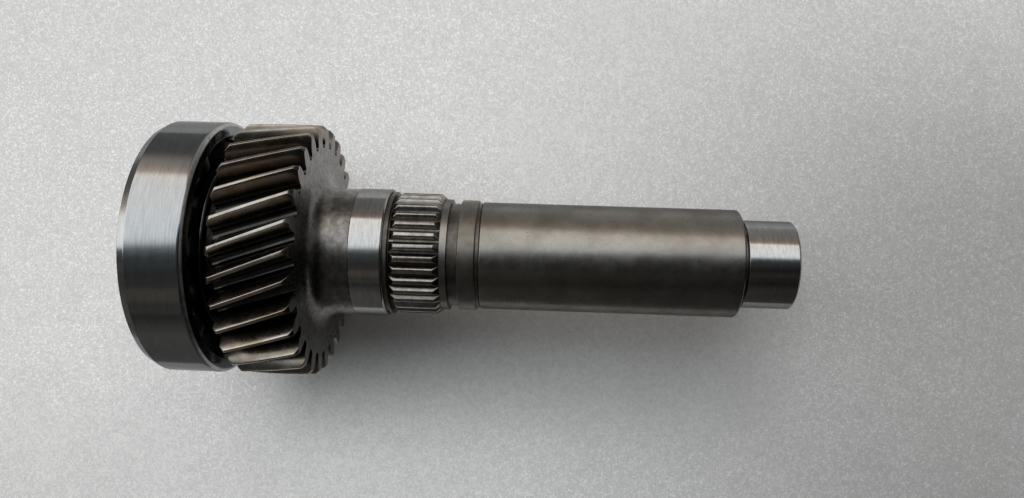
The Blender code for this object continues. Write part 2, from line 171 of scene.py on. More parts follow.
# %% World
WINDOW_GLOW = (1.60, 1.60, 1.60)
WINDOW_FOOT = 12.8  # degrees, the window's lower edge, where one looks square to the axis
WINDOW_HEAD = 58.5  # its upper edge
FOOT_SLANT = 26.0  # how many degrees the lower edge climbs per unit of the direction's Z
HEAD_SLANT = -15.0
SURROUNDINGS = [
    (-180, (0.70, 0.70, 0.70)),
    (-140, (0.40, 0.40, 0.40)),
    (-122, (0.17, 0.165, 0.16)),
    (-102, (0.12, 0.115, 0.11)),
    (-76, (0.12, 0.115, 0.11)),
    (-54, (0.040, 0.039, 0.037)),
    (-50, (0.075, 0.073, 0.070)),
    (-42, (0.060, 0.058, 0.056)),
    (-39, (0.105, 0.094, 0.084)),
    (-29, (0.110, 0.096, 0.084)),
    (-26, (0.062, 0.060, 0.058)),
    (-14, (0.050, 0.050, 0.050)),
    (2, (0.085, 0.095, 0.100)),
    (9, (0.28, 0.31, 0.32)),
    (13, (1.08, 1.14, 1.18)),
    (18, (1.46, 1.52, 1.55)),
    (34, WINDOW_GLOW),
    (50, (1.60, 1.56, 1.50)),
    (57, (1.75, 1.62, 1.48)),
    (60, (0.56, 0.45, 0.37)),
    (69, (0.34, 0.29, 0.25)),
    (84, (0.29, 0.275, 0.255)),
    (100, (0.30, 0.295, 0.285)),
    (116, (0.42, 0.42, 0.42)),
    (135, (0.60, 0.60, 0.60)),
    (180, (0.70, 0.70, 0.70)),
]
# Degrees where a change starts and is full, the direction's Z at its ends, and the gain at both.
CEILING = (57.0, 62.0)
CHANGES = [
    ((-8.0, -24.0), (-0.30, 0.12), (1.0, 0.55)),  # the dark side, below
    ((9.0, 2.0), (0.12, 0.40), (1.0, 0.45)),  # just under the window
    (CEILING, (-0.30, 0.12), (0.50, 1.70)),
    (CEILING, (0.12, 0.27), (1.0, 0.6)),
]
LAMP_EDGE = (86.0, 70.0)  # a brighter patch of the ceiling, over the bearing
LAMP_REACH = (-0.30, -0.40)
LAMP_GAIN = 3.2
FAR_LEFT = (-0.48, -0.75)
FAR_LEFT_GAIN = 1.25
FAR_RIGHT = (0.34, 0.62)
FAR_RIGHT_GAIN = 0.15
RIGHT_END = (0.80, 0.95)  # past the pilot's end, where it is lighter above than below
RIGHT_END_EDGE = (-20.0, 25.0)
RIGHT_END_LIGHT = (0.03, 0.32)
BACKDROP_SEEN = (0.56, 0.56, 0.57, 1.0)  # what the camera sees where the sheet ends


def gained(tree, colour, mask, gain):
    """Multiplies a colour by gain where mask is 1, and leaves it alone where mask is 0."""
    change = times(tree, mask, maths(tree, "SUBTRACT", gain, 1.0))
    return mixed(tree, 1.0, colour, maths(tree, "ADD", change, 1.0), "MULTIPLY")


def make_world():
    world = bpy.data.worlds.new("workshop_light")
    world.use_nodes = True
    tree = world.node_tree
    tree.nodes.clear()
    direction = add_node(tree, "ShaderNodeTexCoord").outputs["Generated"]
    x, y, z = add_node(tree, "ShaderNodeSeparateXYZ", {0: direction}).outputs
    up, near = times(tree, x, -1.0), times(tree, y, -1.0)
    turn = times(tree, maths(tree, "ARCTAN2", up, near), 180 / math.pi)
    slant = straight(tree, turn, WINDOW_FOOT, WINDOW_HEAD, FOOT_SLANT, HEAD_SLANT)
    turn = maths(tree, "SUBTRACT", turn, times(tree, slant, z))
    stops = [(degrees / 360 + 0.5, colour) for degrees, colour in SURROUNDINGS]
    light = ramp(tree, maths(tree, "MULTIPLY_ADD", turn, 1 / 360, 0.5), stops)
    for edge, reach, gains in CHANGES:
        light = gained(tree, light, ranged(tree, turn, *edge), straight(tree, z, *reach, *gains))
    lamp = times(tree, ranged(tree, turn, *CEILING), ranged(tree, turn, *LAMP_EDGE))
    light = gained(tree, light, lamp, straight(tree, z, *LAMP_REACH, 1.0, LAMP_GAIN))
    light = gained(tree, light, straight(tree, z, *FAR_LEFT, 0.0, 1.0), FAR_LEFT_GAIN)
    light = gained(tree, light, ranged(tree, z, *FAR_RIGHT), FAR_RIGHT_GAIN)
    right_end = ranged(tree, turn, *RIGHT_END_EDGE, *RIGHT_END_LIGHT)
    light = mixed(tree, ranged(tree, z, *RIGHT_END), light, right_end)
    path = add_node(tree, "ShaderNodeLightPath").outputs
    shown = mixed(tree, path["Is Camera Ray"], light, BACKDROP_SEEN)
    background = add_node(tree, "ShaderNodeBackground", {"Color": shown}).outputs[0]
    add_node(tree, "ShaderNodeOutputWorld", {"Surface": background})
    return world


scene.world = make_world()
print("stops round the axis:", len(SURROUNDINGS))

# %% [markdown]
# ## The sheet that the shaft lies on
#
# The bearing and the gear rest on a pale foam sheet, which also fills the picture's background. It is
# one flat face just behind them. It takes the shaft's shadow, and the steel reflects it along its
# upper and lower outlines. It fades out far from the shaft and can't be seen from behind, so that
# the other views of the shaft stay open. A little light of its own, seen by the camera and in
# reflections only, brings it to the photo's tone. That light has to keep out of the shadow, so it
# stops on the strip where the shadow falls. Its colour is darkened towards the right and the bottom
# as painted shade, and its brightest flecks are painted glints: specks of its own light, like the
# foam's glinting beads.

# %% Sheet
SHEET_PLACE = 0.0456
SHEET_MIDDLE = 0.13
SHEET_TOP = -0.152
SHEET_BOTTOM = 0.118
SHEET_HALF_LENGTH = 0.35
SHEET_FADE = 0.007
SHEET_FADE_ALONG = (0.26, 0.34)  # from its middle
SHEET_COLOUR = (0.93, 0.935, 0.935, 1.0)
# Painted shade: the sheet's colour is darkened towards the right and the bottom, where less light
# falls.
DIM_TO_RIGHT = (0.06, 0.34, 0.0, 0.44)  # from and to which Z, and how much of the light is lost
DIM_FROM_TOP = (-0.14, -0.01)  # over these X the loss to the right sets in
DIM_AT_BOTTOM = (0.04, 0.11, 1.0, 0.90)
SHEET_GLOW = (0.08, 0.30, 0.12, 0.03)  # from and to which Z, and the glow at both
# Where the shadow starts, where it is full from and to, and where it ends, in X and in Z.
SHADOW_ACROSS = (-0.030, 0.004, 0.050, 0.095)
SHADOW_ALONG = (0.010, 0.040, 0.215, 0.250)
# The kind of each noise and its levels.
FOAM_GRAIN = [
    ((60.0, 3.0, 0.5), (0.3, 0.7, 0.985, 1.015)),  # clouds
    ((520.0, 3.0, 0.65), (0.28, 0.72, 0.93, 1.04)),  # beads of about a millimetre
    ((1500.0, 2.0, 0.6), (0.28, 0.72, 0.93, 1.05)),  # a finer grit
]
# Painted glints: fine specks where the sheet gives off light of its own.
PAINTED_GLINTS = ((1500.0, 2.0, 0.5), (0.55, 0.67, 0.0, 0.17))


def strip(tree, value, start, full, full_end, end):
    """1 from full to full_end, falling smoothly to 0 at start and end."""
    return times(tree, ranged(tree, value, start, full), ranged(tree, value, end, full_end))


def sheet_material():
    material = bpy.data.materials.new("pale_foam")
    material.use_nodes = True
    tree = material.node_tree
    tree.nodes.clear()
    place = add_node(tree, "ShaderNodeTexCoord").outputs["Object"]
    x, _, z = add_node(tree, "ShaderNodeSeparateXYZ", {0: place}).outputs
    # Painted shade: the colour darkens towards the right and the bottom of the sheet.
    painted_shade = times(tree, ranged(tree, z, *DIM_TO_RIGHT), ranged(tree, x, *DIM_FROM_TOP))
    unshaded_share = maths(tree, "SUBTRACT", 1.0, painted_shade)
    grain = [patches(tree, place, *layer) for layer in FOAM_GRAIN]
    shade_and_grain = times(tree, unshaded_share, ranged(tree, x, *DIM_AT_BOTTOM), *grain)
    colour = mixed(tree, 1.0, SHEET_COLOUR, shade_and_grain, "MULTIPLY")
    fade_ends = (SHEET_TOP, SHEET_TOP + SHEET_FADE, SHEET_BOTTOM - SHEET_FADE, SHEET_BOTTOM)
    length = maths(tree, "ABSOLUTE", maths(tree, "SUBTRACT", z, SHEET_MIDDLE))
    fade_along = ranged(tree, length, *SHEET_FADE_ALONG, 1.0, 0.0)
    back = add_node(tree, "ShaderNodeNewGeometry").outputs["Backfacing"]
    front = maths(tree, "SUBTRACT", 1.0, back)
    solid = times(tree, strip(tree, x, *fade_ends), fade_along, front)
    path = add_node(tree, "ShaderNodeLightPath").outputs
    direct = maths(tree, "MAXIMUM", path["Is Camera Ray"], path["Is Glossy Ray"])
    seen = maths(tree, "MAXIMUM", direct, path["Is Transmission Ray"])
    shadow = times(tree, strip(tree, x, *SHADOW_ACROSS), strip(tree, z, *SHADOW_ALONG))
    glow = maths(tree, "ADD", ranged(tree, z, *SHEET_GLOW), patches(tree, place, *PAINTED_GLINTS))
    strength = times(tree, glow, maths(tree, "SUBTRACT", 1.0, shadow), seen)
    lit = add_node(tree, "ShaderNodeBsdfDiffuse", {"Color": colour}).outputs[0]
    own = add_node(tree, "ShaderNodeEmission", {"Color": colour, "Strength": strength}).outputs[0]
    both = add_node(tree, "ShaderNodeAddShader", {0: lit, 1: own}).outputs[0]
    clear = add_node(tree, "ShaderNodeBsdfTransparent").outputs[0]
    shown = add_node(tree, "ShaderNodeMixShader", {0: solid, 1: clear, 2: both}).outputs[0]
    add_node(tree, "ShaderNodeOutputMaterial", {"Surface": shown})
    return material


def make_sheet():
    low, high = SHEET_MIDDLE - SHEET_HALF_LENGTH, SHEET_MIDDLE + SHEET_HALF_LENGTH
    corners = [(SHEET_TOP, low), (SHEET_BOTTOM, low), (SHEET_BOTTOM, high), (SHEET_TOP, high)]
    places = [(x, SHEET_PLACE, z) for x, z in corners]
    mesh = bpy.data.meshes.new("foam_sheet")
    mesh.from_pydata(places, [], [(0, 1, 2, 3)])
    mesh.materials.append(sheet_material())
    sheet = placed("foam_sheet", mesh)
    return sheet


sheet = make_sheet()
print("sheet faces", tuple(round(v) for v in sheet.data.polygons[0].normal))

# %% [markdown]
# ## Steel finishes
#
# Almost every finish here is bare steel, and they differ in how the surface was last worked. A ground
# surface is bright with fine lines round the axis. A turned face is satin. Gear flanks carry the
# brown and bronze of heat and oil. A tooth's colour is darkened at its foot as painted shade, and
# lightened at its tip, partly for the lighter turned tip and partly as a painted highlight. The
# bearing's cage and rivets are near black, and its raceways are coloured near black as painted shade.
# One function makes them all from the same few layers: a soft mottling of the colour, in clouds or in
# streaks round the axis, a tint in patches, tiny dark specks, a roughness that wanders, and a fine
# bump that is stretched round the axis to make tool lines. All noise reads Object coordinates, which
# stay fixed to the steel when a part turns.

# %% Finishes
SPECK_COLOUR = (0.055, 0.050, 0.045, 1.0)
SPECK_KIND = (1500.0, 2.0, 0.5)
SPECK_EDGE = (0.66, 0.74)


def distance_from_axis(tree, place):
    along = add_node(tree, "ShaderNodeSeparateXYZ", {0: place}).outputs
    squares = [times(tree, along[axis], along[axis]) for axis in ("X", "Y")]
    return maths(tree, "SQRT", maths(tree, "ADD", *squares))


def stretched(tree, place, around, along):
    inputs = {"Vector": place, "Scale": (around, around, along)}
    return add_node(tree, "ShaderNodeMapping", inputs).outputs[0]


def colour_of(tree, place, dark, light, patch, tints, specks, streaks):
    """The base colour: mottled between two tones, tinted in patches, and with dark specks."""
    if streaks:
        lines = stretched(tree, place, *streaks)
        mottling = patches(tree, lines, (1.0, 5.0, 0.6), (0.30, 0.70))
    else:
        mottling = patches(tree, place, (patch, 6.0, 0.6), (0.32, 0.68))
    colour = mixed(tree, mottling, (*dark, 1.0), (*light, 1.0))
    if tints:
        step = 1 / (len(tints) - 1)
        stops = [(i * step, tint) for i, tint in enumerate(tints)]
        hue = ramp(tree, patches(tree, place, (patch * 0.6, 3.0, 0.6), (0.3, 0.7)), stops)
        where = patches(tree, place, (patch * 0.35, 2.0, 0.5), (0.40, 0.62))
        colour = mixed(tree, where, colour, hue)
    if specks:
        spots = patches(tree, place, SPECK_KIND, (*SPECK_EDGE, 0.0, specks))
        colour = mixed(tree, spots, colour, SPECK_COLOUR)
    return colour


def steel_finish(name, dark, light, rough, patch=120.0, tints=None, specks=0.0, streaks=None,
                 grain=None, depths=None, metal=1.0, sheen=1.0):
    """One finish, mottled between a dark and a light tone.

    rough is (smoothest, roughest), and patch the scale of the mottling's clouds; streaks, instead
    of clouds, is the scale of its lines (round, along); grain is (scale round, scale along,
    depth) of the bump; depths is a list of (radius, brightness), from a tooth's root to its tip,
    which paints shade at the root and lightens the tip, partly as a painted highlight; sheen is how
    much of a clean metal's shine is left where one looks along the surface.
    """
    material = bpy.data.materials.new(name)
    material.use_nodes = True
    tree = material.node_tree
    place = add_node(tree, "ShaderNodeTexCoord").outputs["Object"]
    colour = colour_of(tree, place, dark, light, patch, tints, specks, streaks)
    # Painted shade and highlight: the colour is darkened towards a tooth's root and lightened towards
    # its tip.
    if depths:
        low, high = depths[0][0], depths[-1][0]
        share = straight(tree, distance_from_axis(tree, place), low, high, 0.0, 1.0)
        stops = [((radius - low) / (high - low), tone) for radius, tone in depths]
        colour = mixed(tree, 1.0, colour, ramp(tree, share, stops), "MULTIPLY")
    inputs = {
        "Base Color": colour,
        "Metallic": metal,
        "Roughness": patches(tree, place, (patch * 1.7, 5.0, 0.6), (0.3, 0.7, *rough)),
        "Specular Tint": (sheen, sheen, sheen, 1.0),
    }
    if grain:
        around, along, depth = grain
        height = noise(tree, stretched(tree, place, around, along), 1.0, 4.0, 0.65)
        bump = add_node(tree, "ShaderNodeBump", {"Height": height, "Strength": 1.0, "Distance": depth})
        inputs["Normal"] = bump.outputs[0]
    fill(tree, tree.nodes["Principled BSDF"], inputs)
    return material


ground_steel = steel_finish(
    "ground_journal",
    (0.34, 0.34, 0.335), (0.43, 0.43, 0.425), (0.09, 0.15),
    patch=240.0, specks=0.3, streaks=(260.0, 1600.0), grain=(260.0, 1500.0, 0.000009), sheen=0.5,
)
barrel_steel = steel_finish(
    "worn_barrel",
    (0.215, 0.200, 0.180), (0.275, 0.262, 0.242), (0.24, 0.32),
    patch=110.0, specks=0.6, grain=(120.0, 900.0, 0.000006), sheen=0.5,
)
turned_steel = steel_finish(
    "turned_web",
    (0.125, 0.118, 0.110), (0.225, 0.215, 0.205), (0.24, 0.34),
    patch=420.0, specks=0.7, grain=(700.0, 700.0, 0.000016),
)
groove_steel = steel_finish(
    "turned_grooves",
    (0.085, 0.078, 0.070), (0.15, 0.14, 0.128), (0.34, 0.44),
    patch=260.0, specks=0.6, grain=(140.0, 1600.0, 0.000012),
)
land_steel = steel_finish(
    "turned_land",
    (0.15, 0.137, 0.120), (0.20, 0.187, 0.168), (0.36, 0.46),
    patch=200.0, specks=0.6, grain=(300.0, 900.0, 0.000010),
)
gear_steel = steel_finish(
    "cut_gear_teeth",
    (0.128, 0.119, 0.104), (0.195, 0.184, 0.166), (0.20, 0.30),
    patch=150.0,
    tints=[(0.128, 0.108, 0.080), (0.17, 0.15, 0.12), (0.19, 0.162, 0.145), (0.155, 0.153, 0.145)],
    specks=0.5, grain=(700.0, 700.0, 0.000008),
    # Painted shade at the root of the gear's teeth; at the tip a lighter turned land with a painted
    # highlight.
    depths=[
        (0.0372, (0.30, 0.32, 0.34)),
        (0.0388, (0.42, 0.43, 0.44)),
        (0.0400, (0.90, 0.87, 0.84)),
        (0.0440, (1.05, 1.01, 0.96)),
        (0.0446, (2.10, 2.12, 2.15)),
    ],
)
spline_steel = steel_finish(
    "cut_spline",
    (0.20, 0.188, 0.170), (0.32, 0.305, 0.285), (0.18, 0.26),
    patch=420.0, specks=0.6, grain=(800.0, 800.0, 0.000010),
    # Painted shade at the root of the spline's teeth, and a slight painted highlight at the tip.
    depths=[(0.0202, (0.34, 0.33, 0.32)), (0.0206, (0.62, 0.60, 0.58)), (0.0214, (1.10, 1.10, 1.10))],
)
ring_steel = steel_finish(
    "ground_bearing_ring",
    (0.295, 0.305, 0.313), (0.365, 0.375, 0.38), (0.09, 0.15),
    patch=300.0, specks=0.3, streaks=(140.0, 2200.0), grain=(140.0, 2000.0, 0.000010), sheen=0.5,
)
# Painted shade: near black, for the raceways and the faces deep in the gap between the rings.
raceway_shade_steel = steel_finish(
    "raceways_painted_dark",
    (0.030, 0.030, 0.029), (0.050, 0.050, 0.049), (0.14, 0.22),
    patch=300.0, grain=(60.0, 1800.0, 0.000004),
)
corner_steel = steel_finish(
    "turned_ring_corners",
    (0.40, 0.40, 0.392), (0.56, 0.56, 0.55), (0.34, 0.46),
    patch=420.0, specks=0.5, grain=(500.0, 900.0, 0.000012),
)
ball_steel = steel_finish(
    "polished_ball",
    (0.20, 0.205, 0.21), (0.26, 0.265, 0.27), (0.05, 0.10),
    patch=200.0,
)
# The cage and its rivets are near black.
cage_steel = steel_finish(
    "oiled_cage",
    (0.010, 0.0095, 0.009), (0.020, 0.019, 0.018), (0.40, 0.55),
    patch=220.0, specks=0.4, grain=(400.0, 400.0, 0.000008), metal=0.0,
)
rivet_steel = steel_finish(
    "rivet_heads",
    (0.020, 0.019, 0.018), (0.040, 0.038, 0.036), (0.34, 0.46),
    patch=500.0, grain=(900.0, 900.0, 0.000008), metal=0.0,
)
print("finishes:", len([m for m in bpy.data.materials if m.use_nodes]))

# %% [markdown]
# ## Turning
#
# Most of this object was made on a lathe, and so are its meshes: a profile of (radius, height)
# points is swept round the axis in fine rows. A drawing's sharp corners never survive in metal, and
# it is the small rounding of an edge that catches the light. So each corner of a profile that turns
# by more than a few degrees is replaced by a short curve before it is swept.

# %% Helpers for turned shapes
AROUND = 160  # divisions round the axis
EDGE = 0.00012  # how far back from a machined corner its rounding starts
EDGE_SHARE = 0.3  # the most of a flat that one rounding takes
EDGE_STEPS = 3
HOLD = 1.5  # how many times further back the row that keeps a flat flat lies
SHARPEST_SMOOTH = math.radians(35.0)


def mesh_of(name, bm):
    mesh = bpy.data.meshes.new(name)
    bm.to_mesh(mesh)
    bm.free()
    return mesh


def softened(corners, closed=False):
    """Rounds a profile's corners, and adds a row on each side that keeps the flats flat."""
    points = []
    last = len(corners) - 1
    for i, corner in enumerate(corners):
        here = Vector(corner)
        back = Vector(corners[i - 1]) - here
        ahead = Vector(corners[(i + 1) % len(corners)]) - here
        is_end = not closed and i in (0, last)
        if is_end or back.angle(-ahead) < SHARPEST_SMOOTH / 2:
            points.append(here)
            continue
        back_edge = min(EDGE, back.length * EDGE_SHARE)
        ahead_edge = min(EDGE, ahead.length * EDGE_SHARE)
        start = here + back.normalized() * back_edge
        end = here + ahead.normalized() * ahead_edge
        points.append(here + back.normalized() * back_edge * HOLD)
        for step in range(EDGE_STEPS + 1):
            t = step / EDGE_STEPS
            points.append(start * (1 - t) ** 2 + here * 2 * t * (1 - t) + end * t * t)
        points.append(here + ahead.normalized() * ahead_edge * HOLD)
    return points


def lathe(bm, profile, finish=0, closed=False, around=AROUND):
    """Sweeps a profile round the axis and returns its first and last ring of points."""
    rows = []
    for radius, z in profile:
        angles = [math.tau * i / around for i in range(around)]
        rows.append([bm.verts.new((radius * math.cos(a), radius * math.sin(a), z)) for a in angles])
    pairs = list(zip(rows, rows[1:]))
    if closed:
        pairs.append((rows[-1], rows[0]))
    for lower, upper in pairs:
        for i in range(around):
            j = (i + 1) % around
            bm.faces.new((lower[i], lower[j], upper[j], upper[i])).material_index = finish
    return rows[0], rows[-1]


def arc(centre_radius, centre_z, radius, start, end, steps):
    """Points of an arc in the (radius, height) plane, between two angles in radians."""
    points = []
    for step in range(steps + 1):
        angle = start + (end - start) * step / steps
        place = (centre_radius + radius * math.cos(angle), centre_z + radius * math.sin(angle))
        points.append(place)
    return points


def make_piece(name, bm, finishes, body, slot, *replaced):
    """Turns a bmesh into a finished piece that rides on a body in place of the CAD's solids."""
    bmesh.ops.recalc_face_normals(bm, faces=bm.faces)
    mesh = mesh_of(name, bm)
    mesh.shade_smooth()
    mesh.set_sharp_from_angle(angle=SHARPEST_SMOOTH)
    for finish in finishes:
        mesh.materials.append(finish)
    piece = placed(name, mesh)
    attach(piece, body)
    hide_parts(*replaced)
    mesh.calc_loop_triangles()
    print(name, len(mesh.loop_triangles), "triangles")


# %% [markdown]
# ## Teeth by Geometry Nodes
#
# Gear and spline are the same idea: one tooth, repeated round the axis. The gear's teeth also wind
# round it as a left-hand helix. A Geometry Nodes tree does both. It takes one straight tooth, turns
# each point by its height times the lead, sets a copy at each of the tooth positions, and merges the
# copies where they meet in the middle of the gaps. Twisting one tooth and copying it afterwards is
# allowed, because both are turns about the same axis. A second tree only sets copies on a circle, for
# the bearing's balls and rivets.

# %% The trees that repeat
MERGE_DISTANCE = 2e-6


def named_inputs(tree, **kinds):
    """Gives a tree an output and its inputs: a mesh, those named here, and a material."""
    tree.interface.new_socket(name="Geometry", in_out="OUTPUT", socket_type="NodeSocketGeometry")
    for name, kind in {"Geometry": "Geometry", **kinds, "Material": "Material"}.items():
        tree.interface.new_socket(name=name, in_out="INPUT", socket_type=f"NodeSocket{kind}")
    return add_node(tree, "NodeGroupInput").outputs


def finish_tree(tree, geometry, material):
    """Every tree ends alike: real geometry instead of instances, a material, and the output."""
    real = add_node(tree, "GeometryNodeRealizeInstances", {"Geometry": geometry})
    inputs = {"Geometry": real.outputs[0], "Distance": MERGE_DISTANCE}
    merged = add_node(tree, "GeometryNodeMergeByDistance", inputs)
    inputs = {"Geometry": merged.outputs[0], "Material": material}
    dressed = add_node(tree, "GeometryNodeSetMaterial", inputs)
    add_node(tree, "NodeGroupOutput", {0: dressed.outputs[0]})


def copies_round_axis(tree, geometry, count, phase, radius=None, height=None):
    """Instances of a geometry, evenly spaced round the axis and each turned with its place."""
    points = add_node(tree, "GeometryNodePoints", {"Count": count}).outputs[0]
    index = add_node(tree, "GeometryNodeInputIndex").outputs[0]
    pitch = maths(tree, "DIVIDE", math.tau, count)
    turn = maths(tree, "MULTIPLY_ADD", index, pitch, phase)
    rotation = add_node(tree, "ShaderNodeCombineXYZ", {"Z": turn}).outputs[0]
    if radius is not None:
        arm = add_node(tree, "ShaderNodeCombineXYZ", {"X": radius, "Z": height}).outputs[0]
        shifted = {"Geometry": geometry, "Translation": arm}
        geometry = add_node(tree, "GeometryNodeTransform", shifted).outputs[0]
    inputs = {"Points": points, "Instance": geometry, "Rotation": rotation}
    return add_node(tree, "GeometryNodeInstanceOnPoints", inputs).outputs[0]


def wound_teeth_tree():
    tree = bpy.data.node_groups.new("wound_teeth", "GeometryNodeTree")
    kinds = {"Teeth": "Int", "First": "Float", "Turn_per_metre": "Float", "Start_height": "Float"}
    given = named_inputs(tree, **kinds)
    position = add_node(tree, "GeometryNodeInputPosition").outputs[0]
    height = add_node(tree, "ShaderNodeSeparateXYZ", {0: position}).outputs["Z"]
    above = maths(tree, "SUBTRACT", height, given["Start_height"])
    turn = times(tree, above, given["Turn_per_metre"])
    inputs = {"Vector": position, "Angle": turn}
    wound = add_node(tree, "ShaderNodeVectorRotate", inputs, rotation_type="Z_AXIS").outputs[0]
    inputs = {"Geometry": given["Geometry"], "Position": wound}
    tooth = add_node(tree, "GeometryNodeSetPosition", inputs).outputs[0]
    copies = copies_round_axis(tree, tooth, given["Teeth"], given["First"])
    finish_tree(tree, copies, given["Material"])
    return tree


def ring_tree():
    """Copies of a mesh on a circle."""
    tree = bpy.data.node_groups.new("ring_of_copies", "GeometryNodeTree")
    given = named_inputs(tree, Count="Int", First="Float", Radius="Float", Height="Float")
    place = (given["Radius"], given["Height"])
    copies = copies_round_axis(tree, given["Geometry"], given["Count"], given["First"], *place)
    finish_tree(tree, copies, given["Material"])
    return tree


def applied(source):
    """The plain mesh that an object's modifiers give. The object is gone afterwards."""
    graph = bpy.context.evaluated_depsgraph_get()
    result = bpy.data.meshes.new_from_object(source.evaluated_get(graph), depsgraph=graph)
    bpy.data.objects.remove(source, do_unlink=True)
    return result


def grown(name, mesh, tree, **values):
    """Runs a tree on a mesh, with values for its inputs by name, and returns a plain mesh."""
    source = placed(name, mesh)
    modifier = source.modifiers.new(name, "NODES")
    modifier.node_group = tree
    for item in tree.interface.items_tree:
        if item.in_out == "INPUT" and item.name in values:
            modifier[item.identifier] = values[item.name]
    return applied(source)


def stations(low_z, high_z, rise, steps):
    """Heights and tip radii of a tooth: the same rise at both ends, and steps between them."""
    depth, full = rise[-1]
    plain = high_z - low_z - 2 * depth
    first = [(low_z + z, tip) for z, tip in rise]
    between = [(low_z + depth + plain * step / steps, full) for step in range(1, steps)]
    return first + between + [(high_z - z, tip) for z, tip in reversed(rise)]


def tooth_mesh(name, places, side_at):
    """One straight tooth, from the middle of one gap to the next.

    places are (height, tip radius) pairs, and side_at(tip radius) gives half a tooth's outline.
    """
    bm = bmesh.new()
    rows = []
    for z, tip_radius in places:
        side = side_at(tip_radius)
        outline = [(radius, -half) for radius, half in side]
        outline += [(radius, half) for radius, half in reversed(side)]
        row = [bm.verts.new((r * math.cos(a), r * math.sin(a), z)) for r, a in outline]
        rows.append(row)
    for lower, upper in zip(rows, rows[1:]):
        for i in range(len(lower) - 1):
            bm.faces.new((lower[i], lower[i + 1], upper[i + 1], upper[i]))
    return mesh_of(name, bm)


wound_teeth = wound_teeth_tree()
ring_of_copies = ring_tree()
print("nodes in the trees:", len(wound_teeth.nodes), len(ring_of_copies.nodes))

# %% [markdown]
# ## The gear's tooth
#
# A gear tooth's flank is an involute, the curve that the end of a taut string draws as it unwinds
# from the base circle. The half width of the tooth at any radius follows from that, so the flank is
# computed and not drawn. The hob leaves a fillet at its foot, the blank was turned with a chamfer at
# both faces, and the edges of the narrow top land are deburred.

# %% Gear tooth
GEAR_TEETH = 29
GEAR_TIP_RADIUS = 0.0448
GEAR_PITCH_RADIUS = 0.0410
GEAR_ROOT_RADIUS = 0.0369
GEAR_TIP_CHAMFER = 0.0014
GEAR_CHAMFER_EDGE = 0.00035
GEAR_ROOT_FILLET = 0.0014
GEAR_FILLET_SHARE = 0.8
GEAR_BACKLASH = 0.0001
GEAR_TIP_EDGE = 0.00016
PRESSURE_ANGLE = math.radians(18.0)
HELIX_ANGLE = math.radians(20.0)
GEAR_PHASE = math.radians(-88.9)
Z_GEAR = 0.0277
Z_WEB = 0.0540
FILLET_STEPS = 5
FLANK_STEPS = 8
HELIX_STEPS = 10


def rounded(start, corner, end, shares):
    """Points of the curve that rounds a corner, at shares of its length from 0 to 1."""
    return [tuple(start * (1 - t) ** 2 + corner * 2 * t * (1 - t) + end * t * t) for t in shares]


def involute(angle):
    return math.tan(angle) - angle


def half_gear_tooth(radius):
    """Half the tooth's width at a radius, as an angle."""
    half_at_pitch = math.tau / GEAR_TEETH / 4 - GEAR_BACKLASH / (2 * GEAR_PITCH_RADIUS)
    pressure = math.acos(min(1.0, GEAR_PITCH_RADIUS * math.cos(PRESSURE_ANGLE) / radius))
    return half_at_pitch + involute(PRESSURE_ANGLE) - involute(pressure)


def gear_side(tip_radius):
    """Half a tooth from the middle of its gap to its tip, as (radius, half angle) pairs."""
    half_pitch = math.pi / GEAR_TEETH
    foot = GEAR_ROOT_RADIUS + GEAR_ROOT_FILLET
    foot_half = half_gear_tooth(foot)
    room = (half_pitch - foot_half) * GEAR_FILLET_SHARE
    fillet_turn = min(GEAR_ROOT_FILLET / GEAR_ROOT_RADIUS, room)
    side = [(GEAR_ROOT_RADIUS, half_pitch)]
    for step in range(FILLET_STEPS):
        u = math.pi / 2 * step / FILLET_STEPS
        radius = GEAR_ROOT_RADIUS + GEAR_ROOT_FILLET * (1 - math.cos(u))
        side.append((radius, foot_half + fillet_turn * (1 - math.sin(u))))
    flank_top = tip_radius - GEAR_TIP_EDGE
    for step in range(FLANK_STEPS + 1):
        radius = foot + (flank_top - foot) * step / FLANK_STEPS
        side.append((radius, half_gear_tooth(radius)))
    corner = Vector((tip_radius, half_gear_tooth(tip_radius)))
    start = Vector(side[-1])
    end = corner - Vector((0.0, GEAR_TIP_EDGE / tip_radius))
    return side + rounded(start, corner, end, (0.33, 0.67, 1.0))


def gear_stations():
    """A rounded chamfer at both faces, and rows between them for the helix."""
    edge, chamfer = GEAR_CHAMFER_EDGE, GEAR_TIP_CHAMFER
    rise = [
        (0.0, GEAR_TIP_RADIUS - chamfer),
        (chamfer - edge, GEAR_TIP_RADIUS - edge),
        (chamfer, GEAR_TIP_RADIUS - edge / 4),
        (chamfer + edge, GEAR_TIP_RADIUS),
    ]
    return stations(Z_GEAR, Z_WEB, rise, HELIX_STEPS)


gear_band = grown(
    "gear_teeth",
    tooth_mesh("gear_tooth", gear_stations(), gear_side),
    wound_teeth,
    Teeth=GEAR_TEETH,
    First=GEAR_PHASE,
    Turn_per_metre=-math.tan(HELIX_ANGLE) / GEAR_PITCH_RADIUS,
    Start_height=Z_GEAR,
    Material=gear_steel,
)
print("gear band:", len(gear_band.vertices), "points")

# %% [markdown]
# ## The spline's tooth
#
# The spline carries a sliding or pressed-on hub. Its teeth are straight and stand on their own root
# cylinder, and the cutter has run out at both ends, which leaves each tooth tapered to a blunt tip
# like a long hexagon. The same tree repeats it, with no twist.

# %% Spline tooth
SPLINE_TEETH = 32
SPLINE_TIP_RADIUS = 0.0216
SPLINE_ROOT_RADIUS = 0.0201
SPLINE_ROOT_HALF = 0.00165
SPLINE_TIP_HALF = 0.0007
SPLINE_LEAD_IN = 0.0018
SPLINE_END_HEIGHT = 0.00015
SPLINE_PHASE = math.radians(-96.4)
SPLINE_EDGE = 0.00036
Z_SPLINE = 0.0808
Z_SPLINE_END = 0.0978


